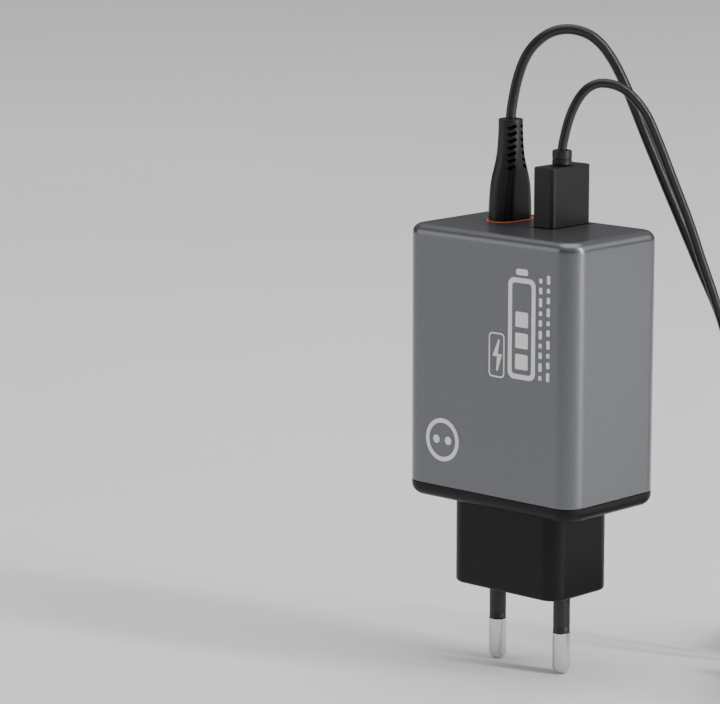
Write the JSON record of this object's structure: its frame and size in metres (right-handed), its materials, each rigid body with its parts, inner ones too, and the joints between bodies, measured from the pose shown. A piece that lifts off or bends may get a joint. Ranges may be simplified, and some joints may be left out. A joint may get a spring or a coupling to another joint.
{
  "type": "laptop power adapter",
  "caption": "Compact mains charger block with a round-pin plug stalk; its plugged-in cables' plugs slide out of the top ports, and each cord's spare length is coiled beside it.",
  "frame": {"origin": "centre of the plug face, on the flat end of the stalk midway between the mains pins", "axes": "+Z from the pins towards the ports, +X along the wide printed side, -Y out of the printed side"},
  "size_m": [0.0901, 0.0854, 0.1447],
  "materials": {
    "housing": "satin metallic grey lacquer with a fine grain",
    "base_plastic": "satin black moulding",
    "nickel": "bright nickel plate on brass",
    "orange_plastic": "satin orange moulding",
    "black_plastic": "satin black moulding",
    "steel": "nickel plated sheet",
    "board": "solder mask on glass laminate",
    "ferrite": "sintered ferrite",
    "winding": "enamelled copper wire",
    "tape": "copper turns under yellow polyester tape",
    "capacitor": "sleeved can",
    "film_box": "moulded case",
    "ceramic_disc": "blue coated disc",
    "chip": "moulded chip package",
    "copper": "bare copper sheet",
    "pad": "soft thermal pad",
    "film": "insulating film",
    "plug_plastic": "satin dark grey moulding",
    "cord": "smooth black cord jacket",
    "tie": "hook and loop strap",
    "lead_brown": "brown wire insulation",
    "lead_blue": "blue wire insulation"
  },
  "bodies": {
    "adapter": {"main_housing": "housing", "base_cap": "base_plastic", "pin_carrier": "film_box", "mains_pin_left": "nickel", "mains_pin_right": "nickel", "pin_sleeve_left": "base_plastic", "pin_sleeve_right": "base_plastic", "usb_c_bezel": "orange_plastic", "usb_a_bezel": "black_plastic", "usb_c_receptacle_shell": "steel", "usb_c_receptacle_tongue": "black_plastic", "usb_a_receptacle_shell": "steel", "usb_a_receptacle_tongue": "orange_plastic", "main_board": "board", "port_board": "board", "heat_spreader": "copper", "thermal_pad": "pad", "insulation_sheet": "film", "transformer_core_left": "ferrite", "transformer_core_right": "ferrite", "transformer_bobbin": "film_box", "transformer_winding": "tape", "choke_core": "ferrite", "choke_winding_left": "winding", "choke_winding_right": "winding", "bulk_capacitor_left": "capacitor", "bulk_capacitor_right": "capacitor", "output_capacitor_left": "capacitor", "output_capacitor_right": "capacitor", "x_capacitor": "film_box", "y_capacitor": "ceramic_disc", "fuse": "film_box", "bridge_rectifier": "chip", "primary_switch_chip": "chip", "sync_rectifier_chip": "chip", "controller_chip": "chip", "output_inductor": "ferrite", "live_lead": "lead_brown", "neutral_lead": "lead_blue", "usb_c_coil": "cord", "usb_c_coil_tie": "tie", "usb_c_tail": "cord", "usb_c_far_boot": "plug_plastic", "usb_c_far_shell": "steel", "usb_a_coil": "cord", "usb_a_coil_tie": "tie", "usb_a_tail": "cord", "usb_a_far_body": "plug_plastic", "usb_a_far_collar": "plug_plastic", "usb_a_far_shell": "steel"},
    "usb_c_plug": {"usb_c_plug_boot": "plug_plastic", "usb_c_plug_shell": "steel", "usb_c_cord": "cord"},
    "usb_a_plug": {"usb_a_plug_body": "plug_plastic", "usb_a_plug_collar": "plug_plastic", "usb_a_plug_shell": "steel", "usb_a_plug_insulator": "black_plastic", "usb_a_cord": "cord"}
  },
  "joints": [
    {"name": "usb_c_plug_pull", "type": "slide", "parent": "adapter", "child": "usb_c_plug", "axis": [0, 0, 1], "range_m": [0, 0.012], "deforming": ["usb_c_cord"]},
    {"name": "usb_a_plug_pull", "type": "slide", "parent": "adapter", "child": "usb_a_plug", "axis": [0, 0, 1], "range_m": [0, 0.016], "deforming": ["usb_a_cord"]}
  ]
}
